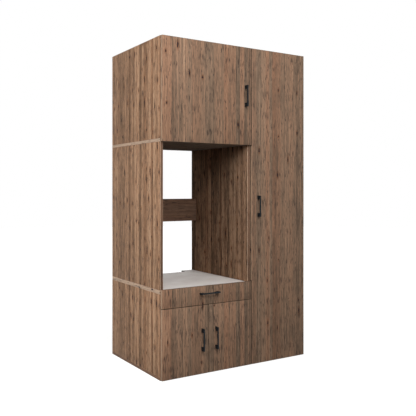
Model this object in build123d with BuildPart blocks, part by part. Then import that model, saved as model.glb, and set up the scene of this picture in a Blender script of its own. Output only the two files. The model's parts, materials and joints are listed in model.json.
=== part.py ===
from build123d import *
import os

os.makedirs("parts", exist_ok=True)

# All sizes are in mm. X runs to the right, the fronts face -Y and Z is up. The origin is on
# the floor, under the middle of the carcass.

# Whole cabinet
cabinet_width = 1090
cabinet_height = 2030
carcass_depth = 700
left_column_width = 650

left = -cabinet_width / 2
right = cabinet_width / 2
seam = left + left_column_width
front = -carcass_depth / 2
rear = carcass_depth / 2

# Boards and how they meet
board = 18
back_board = 3
back_inset = 12
groove_depth = 8
groove_play = 0.2
shelf_setback = 20
shelf_play = 1

# Levels of the left column
platform_top = 530
platform_thickness = 22
bay_ceiling = 1407
drawer_rail_bottom = 412
drawer_rail_depth = 100

# Washing machine bay
rear_rail_face = 284
rear_rail_bottom = 896
rear_rail_height = 160
hose_notch_width = 440
hose_notch_depth = 67
hose_notch_radius = 22

# Shelves, by the height of their undersides
upper_shelf_level = 1700
tall_fixed_shelf_level = 800
tall_shelf_levels = {"tall_shelf_low": 400, "tall_shelf_middle": 1190, "tall_shelf_high": 1590}

# Fronts
front_board = 18
buffer_gap = 2
reveal = 1.5
floor_gap = 3
drawer_seam = 421
drawer_front_rise = 5.5

front_back = front - buffer_gap
front_face = front_back - front_board
column_middle = (left + seam) / 2

# Bar handles
handle_length = 136
handle_width = 8
handle_projection = 30
handle_bar = 6
handle_foot = 24
handle_rounding = 2
handle_hole_spacing = 112
handle_inset = 50
drawer_handle_level = 492
handle_screw_radius = 2
handle_screw_head_radius = 4
handle_screw_head = 2.4
handle_screw_grip = 10
handle_hole_radius = 2.25

# Concealed cup hinges. Each place is given as (u, v): u from the outer side of the unit
# towards its inside, v from the front plane of the carcass towards the rear. A door turns
# about (7.95, -15.05).
cup_radius = 17.5
cup_depth = 12
cup_wall = 1
cup_centre = 24
cup_flange = 1.2
cup_flange_radius = 19
cup_ears = (58, 13)
cup_ears_offset = 9.5
link_pivot = (36, -6)
link_bend = (18.6, -11.05)
link_end = (12.15, -7.9)
link_thickness = 2.5
link_width = 8
link_bead_radius = 1.45
hinge_pin_radius = 1.2
hinge_pin_play = 0.07
arm_length = 62
arm_width = 14
arm_height = 14
arm_shoulder = 8
arm_toe = 4
arm_sheet = 1.2
nose_radius = 2.5
nose_rise = 4
plate_sheet = 2
plate_centre = 37
plate_wings = (52, 12)
plate_tongue = (36, 11)
plate_rib = (38, 10)
plate_rib_height = 5
door_hinge_inset = 100
base_hinge_inset = 80
tall_hinge_count = 4

# Telescopic drawer slides, three nested channels
slide_length = 500
slide_height = 45
slide_space = 12.7
slide_sheet = 1.2
slide_gap = 0.3
slide_outer_reach = 11
slide_inner_start = 4
slide_centre_level = 470

# Drawer box
drawer_side = 16
drawer_side_height = 60
drawer_bottom_board = 3
drawer_bottom_rise = 7

# Small hardware
pin_radius = 2.45
pin_hole_radius = 2.5
pin_hole_depth = 10
pin_length = 9
pin_ledge_reach = 8
pin_ledge_width = 7
pin_from_edge = 60
connector_radius = 4
connector_head_radius = 7
connector_head = 2
connector_play = 0.05
connector_places = [(-310, 210), (250, 210), (-310, 1800), (250, 1800)]
bracket_leg = 30
bracket_width = 20
bracket_sheet = 2
bracket_hole_radius = 2.75
bracket_top_hole = 18
bracket_places = (column_middle, (seam + right) / 2)


def save(builder, name):
    builder.part.label = name
    export_step(builder.part, f"parts/{name}.step")


def middle(span):
    return (span[0] + span[1]) / 2


def size(span):
    return span[1] - span[0]


def slab(x, y, z, mode=Mode.ADD):
    # a board or a groove between two limits along each axis, inside the part being built
    with BuildSketch(Plane.XY.offset(z[0])) as outline:
        with Locations((middle(x), middle(y))):
            Rectangle(size(x), size(y))
    extrude(outline.sketch, amount=size(z), mode=mode)


# Grooves that hold a thin back panel
groove_y = (rear - back_inset - back_board - groove_play, rear - back_inset + groove_play)
back_y = (rear - back_inset - back_board, rear - back_inset)
panel_overlap = groove_depth - 1

# Distances from the front of the two pins at each end of a loose shelf
pin_rows = (front + shelf_setback + pin_from_edge, back_y[0] - pin_from_edge)


def make_side(name, inner_face, z, grooved=True, pin_levels=(), connector_holes=()):
    # an upright board; inner_face is the face towards the inside of its unit
    # and outward is -1 for a left side and 1 for a right side
    face_x, outward = inner_face
    x = sorted((face_x, face_x + outward * board))
    with BuildPart() as side:
        slab(x, (front, rear), z)
        if grooved:
            groove_x = sorted((face_x, face_x + outward * groove_depth))
            slab(groove_x, groove_y, z, mode=Mode.SUBTRACT)
        # shelf pin holes, drilled from the inner face
        for level in pin_levels:
            for pin_y in pin_rows:
                with Locations(Location((face_x, pin_y, level - pin_radius), (0, -90 * outward, 0))):
                    Hole(pin_hole_radius, depth=pin_hole_depth)
        for hole_y, hole_z in connector_holes:
            with Locations(Location((middle(x), hole_y, hole_z), (0, 90, 0))):
                Hole(connector_radius + connector_play)
    save(side, name)


def make_deck(name, x, z, y=(front, rear), groove_face=None, groove_x=None):
    # a level board, with a groove for the back panel in its top or bottom face
    with BuildPart() as deck:
        slab(x, y, z)
        if groove_face == "top":
            slab(groove_x or x, groove_y, (z[1] - groove_depth, z[1]), mode=Mode.SUBTRACT)
        if groove_face == "bottom":
            slab(groove_x or x, groove_y, (z[0], z[0] + groove_depth), mode=Mode.SUBTRACT)
    save(deck, name)


def make_back(name, x, z):
    # a thin back panel with a clearance hole for each wall screw that passes it
    with BuildPart() as back:
        slab(x, back_y, z)
        for place in bracket_places:
            hole_level = cabinet_height - board - bracket_leg / 2
            if x[0] < place < x[1] and z[1] > hole_level:
                with Locations(Location((place, middle(back_y), hole_level), (90, 0, 0))):
                    Hole(bracket_hole_radius)
    save(back, name)


# Inner faces of the upright boards
column_inside = (left + board, seam - board)
tall_inside = (seam + board, right - board)
back_reach_column = (column_inside[0] - panel_overlap, column_inside[1] + panel_overlap)
back_reach_tall = (tall_inside[0] - panel_overlap, tall_inside[1] + panel_overlap)

base_top = platform_top - platform_thickness
upper_floor = bay_ceiling + board
top_underside = cabinet_height - board

low_connectors = [place for place in connector_places if place[1] < base_top]
high_connectors = [place for place in connector_places if place[1] > upper_floor]

# Base unit of the left column
make_deck("base_bottom_board", (left, seam), (0, board), groove_face="top", groove_x=back_reach_column)
make_side("base_left_side", (column_inside[0], -1), (board, base_top))
make_side("base_right_side", (column_inside[1], 1), (board, base_top), connector_holes=low_connectors)
make_back("base_back_panel", back_reach_column, (board - panel_overlap, base_top))
make_deck("drawer_rail", column_inside, (drawer_rail_bottom, drawer_rail_bottom + board),
          y=(front, front + drawer_rail_depth))

# Platform that the washing machine stands on, with a notch for its hoses and cable
with BuildPart() as platform:
    slab((left, seam), (front, rear), (base_top, platform_top))
    with BuildSketch(Plane.XY.offset(base_top)):
        with Locations((column_middle, rear)):
            Rectangle(hose_notch_width, 2 * hose_notch_depth)
    extrude(amount=platform_thickness, mode=Mode.SUBTRACT)
    notch_corners = platform.edges().filter_by(Axis.Z).filter_by_position(
        Axis.Y, rear - hose_notch_depth - 1, rear - hose_notch_depth + 1)
    fillet(notch_corners, hose_notch_radius)
save(platform, "platform_board")

# Bay for the washing machine
make_side("bay_left_side", (column_inside[0], -1), (platform_top, bay_ceiling), grooved=False)
make_side("bay_right_side", (column_inside[1], 1), (platform_top, bay_ceiling), grooved=False)
make_deck("bay_rear_rail", column_inside, (rear_rail_bottom, rear_rail_bottom + rear_rail_height),
          y=(rear_rail_face, rear_rail_face + board))

# Upper unit of the left column
make_deck("upper_bottom_board", (left, seam), (bay_ceiling, upper_floor), groove_face="top",
          groove_x=back_reach_column)
make_side("upper_left_side", (column_inside[0], -1), (upper_floor, cabinet_height),
          pin_levels=[upper_shelf_level])
make_side("upper_right_side", (column_inside[1], 1), (upper_floor, cabinet_height),
          pin_levels=[upper_shelf_level], connector_holes=high_connectors)
make_deck("upper_top_board", column_inside, (top_underside, cabinet_height), groove_face="bottom")
make_back("upper_back_panel", back_reach_column,
          (upper_floor - panel_overlap, top_underside + panel_overlap))

# Tall unit
make_side("tall_left_side", (tall_inside[0], -1), (0, cabinet_height),
          pin_levels=tall_shelf_levels.values(), connector_holes=connector_places)
make_side("tall_right_side", (tall_inside[1], 1), (0, cabinet_height), pin_levels=tall_shelf_levels.values())
make_deck("tall_bottom_board", tall_inside, (0, board), groove_face="top")
make_deck("tall_top_board", tall_inside, (top_underside, cabinet_height), groove_face="bottom")
make_back("tall_back_panel", back_reach_tall, (board - panel_overlap, top_underside + panel_overlap))
make_deck("tall_fixed_shelf", tall_inside, (tall_fixed_shelf_level, tall_fixed_shelf_level + board),
          y=(front, back_y[0]))

# Loose shelves
loose_y = (front + shelf_setback, back_y[0])
loose_shelves = {"upper_shelf": (column_inside, upper_shelf_level)}
for name, level in tall_shelf_levels.items():
    loose_shelves[name] = (tall_inside, level)
for name, (inside, level) in loose_shelves.items():
    make_deck(name, (inside[0] + shelf_play, inside[1] - shelf_play), (level, level + board), y=loose_y)

# Shelf pins: a round peg in the side and a flat ledge under the shelf
with BuildPart() as shelf_pins:
    for inside, level in loose_shelves.values():
        for face_x, outward in ((inside[0], -1), (inside[1], 1)):
            for pin_y in pin_rows:
                ledge_x = sorted((face_x, face_x - outward * pin_ledge_reach))
                ledge_y = (pin_y - pin_ledge_width / 2, pin_y + pin_ledge_width / 2)
                slab(ledge_x, ledge_y, (level - 2 * pin_radius, level))
                peg_middle = face_x + outward * pin_length / 2
                with Locations(Location((peg_middle, pin_y, level - pin_radius), (0, 90, 0))):
                    Cylinder(pin_radius, pin_length)
save(shelf_pins, "shelf_pins")

# Connector bolts: a sleeve through both boards with a flat head at each end
with BuildPart() as connectors:
    for bolt_y, bolt_z in connector_places:
        with Locations(Location((seam, bolt_y, bolt_z), (0, 90, 0))):
            Cylinder(connector_radius, 2 * board)
        for head_x in (seam - board - connector_head / 2, seam + board + connector_head / 2):
            with Locations(Location((head_x, bolt_y, bolt_z), (0, 90, 0))):
                Cylinder(connector_head_radius, connector_head)
save(connectors, "unit_connectors")

# Wall brackets under the top boards, in front of the back panels
with BuildPart() as brackets:
    for place in bracket_places:
        corner_place = (place + bracket_width / 2, back_y[0], top_underside)
        corner = Plane(corner_place, x_dir=(0, -1, 0), z_dir=(-1, 0, 0))
        with BuildSketch(corner) as angle:
            with BuildLine():
                Polyline((bracket_leg, 0), (0, 0), (0, -bracket_leg))
                offset(amount=bracket_sheet, side=Side.LEFT, kind=Kind.INTERSECTION)
            make_face()
        extrude(angle.sketch, amount=bracket_width)
        wall_hole = Location((place, back_y[0], top_underside - bracket_leg / 2), (90, 0, 0))
        top_hole = Location((place, back_y[0] - bracket_top_hole, top_underside))
        with Locations(wall_hole, top_hole):
            Hole(bracket_hole_radius)
save(brackets, "wall_brackets")


# Fronts, each with the places of its cups and of its handle
def span_between(low, high):
    return (low + reveal, high - reveal)


def spread(low, high, count):
    return [low + (high - low) * step / (count - 1) for step in range(count)]


base_z = (floor_gap, drawer_seam - reveal)
upper_z = (bay_ceiling, cabinet_height - reveal)
tall_z = (floor_gap, cabinet_height - reveal)
drawer_z = (drawer_seam + reveal, platform_top + drawer_front_rise)

doors = {
    "base_left": {
        "x": span_between(left, column_middle),
        "z": base_z,
        "unit_side": left,
        "inward": 1,
        "hinges": spread(base_z[0] + base_hinge_inset, base_z[1] - base_hinge_inset, 2),
        "handle": column_middle - handle_inset,
    },
    "base_right": {
        "x": span_between(column_middle, seam),
        "z": base_z,
        "unit_side": seam,
        "inward": -1,
        "hinges": spread(base_z[0] + base_hinge_inset, base_z[1] - base_hinge_inset, 2),
        "handle": column_middle + handle_inset,
    },
    "upper": {
        "x": span_between(left, seam),
        "z": upper_z,
        "unit_side": left,
        "inward": 1,
        "hinges": spread(upper_z[0] + door_hinge_inset, upper_z[1] - door_hinge_inset, 2),
        "handle": seam - handle_inset,
    },
    "tall": {
        "x": span_between(seam, right),
        "z": tall_z,
        "unit_side": right,
        "inward": -1,
        "hinges": spread(tall_z[0] + door_hinge_inset, tall_z[1] - door_hinge_inset, tall_hinge_count),
        "handle": seam + handle_inset,
    },
}


def screw_spots(centre, upright):
    # the two screw places of a handle on a front, as (x, z)
    x, z = centre
    half = handle_hole_spacing / 2
    if upright:
        return [(x, z - half), (x, z + half)]
    return [(x - half, z), (x + half, z)]


def make_front(name, x, z, centre, upright, cups=(), slot=None):
    with BuildPart() as panel:
        slab(x, (front_face, front_back), z)
        for spot_x, spot_z in screw_spots(centre, upright):
            with Locations(Location((spot_x, middle((front_face, front_back)), spot_z), (90, 0, 0))):
                Hole(handle_hole_radius)
        # cup bores from the back of the door
        for cup_x, cup_z in cups:
            with Locations(Location((cup_x, front_back, cup_z), (-90, 0, 0))):
                Hole(cup_radius + connector_play, depth=cup_depth + connector_play)
        if slot:
            slab(*slot, mode=Mode.SUBTRACT)
    save(panel, name)


def make_handle(name, centre, upright):
    # a bar on two feet, drawn from the side and given its width
    run = (0, 0, 1) if upright else (1, 0, 0)
    across = (1, 0, 0) if upright else (0, 0, -1)
    side_view = Plane((centre[0], front_face, centre[1]), x_dir=run, z_dir=across)
    under_bar = handle_projection - handle_bar
    with BuildPart() as handle:
        with BuildSketch(side_view) as bow:
            with Locations((0, handle_projection / 2)):
                Rectangle(handle_length, handle_projection)
            with Locations((0, under_bar / 2)):
                Rectangle(handle_length - 2 * handle_foot, under_bar, mode=Mode.SUBTRACT)
        extrude(bow.sketch, amount=handle_width / 2, both=True)
        outer_corners = handle.edges().filter_by(Axis((0, 0, 0), across)).group_by(Axis.Y)[0]
        fillet(outer_corners, handle_rounding)
        for spot_x, spot_z in screw_spots(centre, upright):
            with Locations(Location((spot_x, front_face, spot_z), (-90, 0, 0))):
                Hole(handle_screw_radius + connector_play, depth=handle_screw_grip + 1)
    save(handle, name)


def make_handle_screws(name, centre, upright):
    with BuildPart() as screws:
        for spot_x, spot_z in screw_spots(centre, upright):
            axis_plane = Plane((spot_x, front_back, spot_z), x_dir=(1, 0, 0), z_dir=(0, 0, 1))
            with BuildSketch(axis_plane) as half_section:
                with BuildLine():
                    Polyline(
                        (0, handle_screw_head),
                        (handle_screw_head_radius, handle_screw_head),
                        (handle_screw_head_radius, 0),
                        (handle_screw_radius, 0),
                        (handle_screw_radius, -front_board - handle_screw_grip),
                        (0, -front_board - handle_screw_grip),
                        close=True,
                    )
                make_face()
            revolve(half_section.sketch, Axis((spot_x, front_back, spot_z), (0, 1, 0)))
    save(screws, name)


# Masters of the hinge pieces, drawn for a door hung on the left, at height 0
def master_cup():
    mouth = Plane((cup_centre, -buffer_gap, 0), x_dir=(1, 0, 0), z_dir=(0, 1, 0))
    with BuildPart() as cup:
        with BuildSketch(mouth) as flange:
            Circle(cup_flange_radius)
            with Locations((cup_ears_offset, 0)):
                SlotOverall(*cup_ears, rotation=90)
        extrude(flange.sketch, amount=cup_flange)
        with BuildSketch(mouth) as body:
            Circle(cup_radius)
        extrude(body.sketch, amount=-cup_depth)
        with BuildSketch(mouth.offset(cup_flange)) as hollow:
            Circle(cup_radius - cup_wall)
        extrude(hollow.sketch, amount=-(cup_depth + cup_flange - cup_wall), mode=Mode.SUBTRACT)
    return cup.part


def master_plate():
    # cross-shaped mounting plate on the inner face of the side board, with a rib for the arm
    foot = Plane((board, plate_centre, 0), x_dir=(0, 1, 0), z_dir=(1, 0, 0))
    with BuildPart() as plate:
        with BuildSketch(foot) as cross:
            SlotOverall(*plate_wings, rotation=90)
            Rectangle(*plate_tongue)
        extrude(cross.sketch, amount=plate_sheet)
        with BuildSketch(foot.offset(plate_sheet)) as rib:
            Rectangle(*plate_rib)
        extrude(rib.sketch, amount=plate_rib_height)
    return plate.part


def master_arm():
    # a pressed channel over the plate: two cheeks under a roof, the nose reaching into the cup
    pivot_u, pivot_v = link_pivot
    low = board + plate_sheet
    high = board + arm_height
    nose_top = pivot_u + nose_radius
    roof_line = [(high, arm_length), (high, arm_shoulder), (nose_top, pivot_v + nose_rise)]
    nose_line = [(nose_top, pivot_v), (pivot_u, pivot_v - nose_radius), (pivot_u - nose_radius, pivot_v)]
    toe_line = [(low + arm_toe, 1), (low, arm_toe), (low, arm_length)]
    with BuildPart() as arm:
        with BuildSketch(Plane.XY) as cheek:
            with BuildLine():
                Polyline(*roof_line, *nose_line, *toe_line, close=True)
            make_face()
        extrude(cheek.sketch, amount=arm_width / 2, both=True)
        extrude(cheek.sketch, amount=arm_width / 2 - arm_sheet, both=True, mode=Mode.SUBTRACT)
        with BuildSketch(Plane.XY) as roof:
            with BuildLine():
                Polyline(*roof_line)
                offset(amount=arm_sheet, side=Side.RIGHT, kind=Kind.INTERSECTION)
            make_face()
        extrude(roof.sketch, amount=arm_width / 2, both=True)
        with Locations(link_pivot):
            Cylinder(hinge_pin_radius, arm_width)
    return arm.part


def master_link():
    # a hooked strip that turns on the arm's pin and reaches round the door's edge into the cup
    with BuildPart() as link:
        with BuildSketch(Plane.XY) as hook:
            with BuildLine():
                Polyline(link_pivot, link_bend, link_end)
            trace(line_width=link_thickness)
            with Locations(link_pivot):
                Circle(nose_radius)
            with Locations(link_end):
                Circle(link_bead_radius)
        extrude(hook.sketch, amount=link_width / 2, both=True)
        with Locations(link_pivot):
            Hole(hinge_pin_radius + hinge_pin_play)
    return link.part


def place_on_hinges(builder_name, master, door_names):
    # copies of a hinge piece at every hinge of the named doors
    with BuildPart() as group:
        for door_name in door_names:
            door = doors[door_name]
            handed = master if door["inward"] == 1 else mirror(master, about=Plane.YZ, mode=Mode.PRIVATE)
            with Locations(*[(door["unit_side"], front, level) for level in door["hinges"]]):
                add(handed)
    save(group, builder_name)


cup_master = master_cup()
link_master = master_link()
place_on_hinges("hinge_plates", master_plate(), doors)
place_on_hinges("hinge_arms", master_arm(), doors)

for door_name, door in doors.items():
    centre = (door["handle"], middle(door["z"]))
    cup_x = door["unit_side"] + door["inward"] * cup_centre
    cups = [(cup_x, level) for level in door["hinges"]]
    make_front(f"{door_name}_door", door["x"], door["z"], centre, True, cups=cups)
    make_handle(f"{door_name}_handle", centre, True)
    make_handle_screws(f"{door_name}_handle_screws", centre, True)
    place_on_hinges(f"{door_name}_hinge_cups", cup_master, [door_name])
    place_on_hinges(f"{door_name}_hinge_links", link_master, [door_name])

# Drawer box, open at the top, its bottom held in grooves
box_x = (column_inside[0] + slide_space, column_inside[1] - slide_space)
box_y = (front_back, front_back + slide_length)
side_z = (slide_centre_level - drawer_side_height / 2, slide_centre_level + drawer_side_height / 2)
bottom_z = (side_z[0] + drawer_bottom_rise, side_z[0] + drawer_bottom_rise + drawer_bottom_board)
slot_z = (bottom_z[0] - groove_play, bottom_z[1] + groove_play)
inner_x = (box_x[0] + drawer_side, box_x[1] - drawer_side)
bottom_x = (inner_x[0] - panel_overlap, inner_x[1] + panel_overlap)

drawer_centre = (column_middle, drawer_handle_level)
front_slot = (bottom_x, (front_back - groove_depth, front_back), slot_z)
make_front("drawer_front", span_between(left, seam), drawer_z, drawer_centre, False, slot=front_slot)
make_handle("drawer_handle", drawer_centre, False)
make_handle_screws("drawer_handle_screws", drawer_centre, False)

for name, face_x, outward in (("drawer_left_side", inner_x[0], -1), ("drawer_right_side", inner_x[1], 1)):
    with BuildPart() as box_side:
        slab(sorted((face_x, face_x + outward * drawer_side)), box_y, side_z)
        slot_x = sorted((face_x, face_x + outward * groove_depth))
        slab(slot_x, box_y, slot_z, mode=Mode.SUBTRACT)
    save(box_side, name)

with BuildPart() as drawer_back:
    slab(inner_x, (box_y[1] - drawer_side, box_y[1]), (bottom_z[1], side_z[1]))
save(drawer_back, "drawer_back")

with BuildPart() as drawer_bottom:
    slab(bottom_x, (box_y[0] - panel_overlap, box_y[1]), bottom_z)
save(drawer_bottom, "drawer_bottom")

# Sections of the slides: nested C shapes, their depth measured from the side of the cabinet
# towards the drawer
half_height = slide_height / 2
nest = slide_sheet + slide_gap
middle_reach = slide_outer_reach + slide_gap - slide_sheet


def channel_part(web_face, web_side, flange_face, flange_ends):
    # a C section: its web lies at web_face and its flanges end at flange_ends
    near, far = sorted((web_face, flange_ends))
    with BuildSketch(Plane.XZ) as section:
        with Locations((middle((near, far)), 0)):
            Rectangle(far - near, 2 * flange_face)
            with Locations((web_side * slide_sheet / 2, 0)):
                Rectangle(far - near - slide_sheet, 2 * (flange_face - slide_sheet), mode=Mode.SUBTRACT)
    return section.sketch


slide_sections = {
    "drawer_slide_outer": channel_part(0, 1, half_height, slide_outer_reach),
    "drawer_slide_middle": channel_part(nest, 1, half_height - nest, middle_reach),
    "drawer_slide_inner": channel_part(slide_space, -1, half_height - 2 * nest, slide_inner_start),
}
for name, section in slide_sections.items():
    with BuildPart() as slide:
        for wall_x, inward in ((column_inside[0], 1), (column_inside[1], -1)):
            handed = section if inward == 1 else mirror(section, about=Plane.YZ, mode=Mode.PRIVATE)
            placed = Location((wall_x, box_y[1], slide_centre_level)) * handed
            extrude(placed, amount=slide_length - buffer_gap)
    save(slide, name)
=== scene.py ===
import json
import math
import random

import bmesh
import bpy
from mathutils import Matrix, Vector


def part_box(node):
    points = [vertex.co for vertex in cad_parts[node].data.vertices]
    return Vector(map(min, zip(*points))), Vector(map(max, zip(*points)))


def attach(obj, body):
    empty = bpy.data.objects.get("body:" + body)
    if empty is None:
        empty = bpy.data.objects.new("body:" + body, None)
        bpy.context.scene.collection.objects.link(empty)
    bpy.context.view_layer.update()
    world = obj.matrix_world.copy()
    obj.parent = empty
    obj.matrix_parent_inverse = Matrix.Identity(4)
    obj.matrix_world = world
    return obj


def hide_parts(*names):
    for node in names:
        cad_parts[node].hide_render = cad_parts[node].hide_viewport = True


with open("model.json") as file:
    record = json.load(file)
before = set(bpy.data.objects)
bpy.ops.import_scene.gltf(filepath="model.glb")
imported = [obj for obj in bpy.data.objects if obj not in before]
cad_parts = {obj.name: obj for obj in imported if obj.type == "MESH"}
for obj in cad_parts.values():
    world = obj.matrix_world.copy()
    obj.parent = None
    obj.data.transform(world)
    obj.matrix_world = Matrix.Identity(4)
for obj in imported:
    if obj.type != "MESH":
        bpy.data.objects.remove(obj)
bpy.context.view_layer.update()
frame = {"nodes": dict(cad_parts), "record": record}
nodes = frame["nodes"]
bodyOf = {node: body for body, members in frame["record"]["behaviour"]["bodies"].items() for node in members}
print("frame loaded,", len(nodes), "nodes")

mm = 0.001
chance = random.Random(11)


def hexColour(text):
    # sRGB hex to the linear RGBA that sockets take
    parts = [int(text[i:i + 2], 16) / 255 for i in (1, 3, 5)]
    linear = [p / 12.92 if p <= 0.04045 else ((p + 0.055) / 1.055) ** 2.4 for p in parts]
    return (*linear, 1.0)


def addNode(tree, kind, settings=None, inputs=None):
    # an input is a plain value, a socket, or another node whose first output is meant
    node = tree.nodes.new(kind)
    for key, value in (settings or {}).items():
        if key == "stops":    # places and tones of a colour ramp
            elements = node.color_ramp.elements
            elements.remove(elements[1])
            elements[0].position, elements[0].color = value[0][0], hexColour(value[0][1])
            for place, tone in value[1:]:
                elements.new(place).color = hexColour(tone)
        else:
            setattr(node, key, value)
    for key, value in (inputs or {}).items():
        socket = node.inputs[key]
        if isinstance(value, bpy.types.Node):
            value = value.outputs[0]
        if isinstance(value, bpy.types.NodeSocket):
            tree.links.new(value, socket)
        else:
            socket.default_value = value
    return node


def newMaterial(name):
    material = bpy.data.materials.new(name)
    material.use_nodes = True
    material.node_tree.nodes.clear()
    return material, material.node_tree


# The printed pine, shared by the boards' faces and their edge bands.
# Sizes are in mm: across the grain, then along it.
pine = {
    "wander": (90, 420),            # slow drift of the grain
    "wanderReach": 5,
    "stave": 33,                    # width of the printed staves
    "strip": 11,                    # narrow strips of even tone inside them
    "cloud": (52, 330),             # broad light and dark
    "figure": (14, 260),            # growth rings cut lengthwise
    "streak": (5.4, 190),
    "fibre": (2.8, 30),             # drawn about three times as coarse as real fibres, to show
    "check": (5.4, 64),             # long dark drying checks
    "patch": (80, 200),             # where the checks gather
    "knotCell": (84, 150),          # one knot at most in each cell
    "knotWidth": (2.4, 5.0),        # half width of the smallest and the largest
    "knotLength": (1.5, 4.2),       # height of a knot over its width
    "knotSwing": 4,                 # how far the grain swings out round a knot
    "dashCell": (30, 80),           # small dark dashes between the knots
    "dashSize": (1.8, 9.0),
    "dashShare": 0.42,              # of the cells
    "ragged": (0.14, 0.8),          # lumps per mm in the outlines of knots and dashes, and their reach
    "detail": {"cloud": (2.0, 0.5), "figure": (2.0, 0.55), "streak": (3.0, 0.6),
               "fibre": (2.0, 0.6), "check": (1.5, 0.5), "patch": (1.0, 0.5)},
    # how far each layer swings between light and dark
    "swing": {"stave": 0.20, "strip": 0.15, "cloud": 0.22, "figure": 0.32, "streak": 0.62, "fibre": 0.42},
    "warmTones": [(0.12, "#573E31"), (0.36, "#805E4A"), (0.58, "#9D785F"), (0.86, "#BA977B")],
    "coolTones": [(0.12, "#50453B"), (0.36, "#776857"), (0.58, "#92816E"), (0.86, "#AE9B86")],
    "redTone": "#DCA88F",
    "checkInk": "#3B3230",
    "haloInk": "#CDB4A6",
    "dashInk": "#403837",
    "knotInk": "#29252A",
}


def makePinePrint():
    tree = bpy.data.node_groups.new("pinePrint", "ShaderNodeTree")
    for name, way, kind in (("Place", "INPUT", "Vector"), ("Contrast", "INPUT", "Float"),
                            ("Grey", "INPUT", "Float"), ("Knots", "INPUT", "Float"),
                            ("Colour", "OUTPUT", "Color"), ("Fibre", "OUTPUT", "Float"),
                            ("Dark", "OUTPUT", "Float")):
        tree.interface.new_socket(name, in_out=way, socket_type="NodeSocket" + kind)
    start = addNode(tree, "NodeGroupInput")
    scale = {name: (1 / size[0], 1 / size[1], 1) for name, size in pine.items() if isinstance(size, tuple)}
    place = addNode(tree, "ShaderNodeVectorMath", {"operation": "SCALE"}, {
        0: start.outputs["Place"], "Scale": 1000.0})    # metres to mm

    # knots: the nearest cell point, and the distance to it in knot sizes
    cells = addNode(tree, "ShaderNodeTexVoronoi", {"voronoi_dimensions": "2D"}, {
        "Vector": addNode(tree, "ShaderNodeMapping", None, {"Vector": place, "Scale": scale["knotCell"]}),
        "Scale": 1.0, "Randomness": 0.92})
    knotChance = addNode(tree, "ShaderNodeSeparateColor", None, {0: cells.outputs["Color"]})
    knotPlace = addNode(tree, "ShaderNodeVectorMath", {"operation": "MULTIPLY"}, {
        0: cells.outputs["Position"], 1: (*pine["knotCell"], 0)})
    offset = addNode(tree, "ShaderNodeVectorMath", {"operation": "SUBTRACT"}, {0: place, 1: knotPlace})
    width = addNode(tree, "ShaderNodeMapRange", None, {
        "Value": knotChance.outputs[1], "To Min": pine["knotWidth"][0], "To Max": pine["knotWidth"][1]})
    length = addNode(tree, "ShaderNodeMapRange", None, {
        "Value": knotChance.outputs[2], "To Min": pine["knotLength"][0], "To Max": pine["knotLength"][1]})
    height = addNode(tree, "ShaderNodeMath", {"operation": "MULTIPLY"}, {0: width, 1: length})
    inKnots = addNode(tree, "ShaderNodeVectorMath", {"operation": "DIVIDE"}, {
        0: offset, 1: addNode(tree, "ShaderNodeCombineXYZ", None, {0: width, 1: height, 2: 1.0})})
    lumps = addNode(tree, "ShaderNodeTexNoise", {"noise_dimensions": "2D"}, {
        "Vector": place, "Scale": pine["ragged"][0], "Detail": 2.0})
    ragged = addNode(tree, "ShaderNodeMapRange", None, {
        "Value": lumps, "To Min": -pine["ragged"][1], "To Max": pine["ragged"][1]})
    knotReach = addNode(tree, "ShaderNodeMath", {"operation": "ADD"}, {
        0: addNode(tree, "ShaderNodeVectorMath", {"operation": "LENGTH"}, {0: inKnots}).outputs["Value"],
        1: ragged})
    isKnot = addNode(tree, "ShaderNodeMath", {"operation": "LESS_THAN"}, {
        0: knotChance, 1: start.outputs["Knots"]})
    core = addNode(tree, "ShaderNodeMapRange", {"interpolation_type": "SMOOTHSTEP"}, {
        "Value": knotReach, "From Min": 1.05, "From Max": 0.8, "To Max": isKnot})
    halo = addNode(tree, "ShaderNodeMapRange", {"interpolation_type": "SMOOTHSTEP"}, {
        "Value": knotReach, "From Min": 3.0, "From Max": 0.8, "To Max": isKnot})

    # the grain drifts slowly, and swings out round a knot
    drift = addNode(tree, "ShaderNodeTexNoise", {"noise_dimensions": "2D"}, {
        "Vector": addNode(tree, "ShaderNodeMapping", None, {"Vector": place, "Scale": scale["wander"]}),
        "Scale": 1.0, "Detail": 2.0})
    shift = addNode(tree, "ShaderNodeMapRange", None, {
        "Value": drift, "To Min": -pine["wanderReach"], "To Max": pine["wanderReach"]})
    side = addNode(tree, "ShaderNodeSeparateXYZ", None, {0: inKnots})
    swing = addNode(tree, "ShaderNodeMath", {"operation": "MULTIPLY"}, {
        0: addNode(tree, "ShaderNodeMath", {"operation": "MULTIPLY"}, {0: side, 1: halo}),
        1: -pine["knotSwing"]})
    bent = addNode(tree, "ShaderNodeVectorMath", {"operation": "ADD"}, {
        0: place, 1: addNode(tree, "ShaderNodeCombineXYZ", None, {
            0: addNode(tree, "ShaderNodeMath", {"operation": "ADD"}, {0: shift, 1: swing})})})
    across = addNode(tree, "ShaderNodeSeparateXYZ", None, {0: bent})

    # printed staves, each of its own tone, and the narrow strips inside them
    stave, strip = [addNode(tree, "ShaderNodeSeparateColor", None, {
        0: addNode(tree, "ShaderNodeTexVoronoi", {"voronoi_dimensions": "1D", "feature": "SMOOTH_F1"}, {
            "W": addNode(tree, "ShaderNodeMath", {"operation": "DIVIDE"}, {0: across, 1: pine[name]}),
            "Scale": 1.0, "Smoothness": 0.12}).outputs["Color"]}) for name in ("stave", "strip")]
    layers = {"stave": stave, "strip": strip}
    for name, (detail, roughness) in pine["detail"].items():
        layers[name] = addNode(tree, "ShaderNodeTexNoise", {"noise_dimensions": "2D"}, {
            "Vector": addNode(tree, "ShaderNodeMapping", None, {"Vector": bent, "Scale": scale[name]}),
            "Scale": 1.0, "Detail": detail, "Roughness": roughness})

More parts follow.
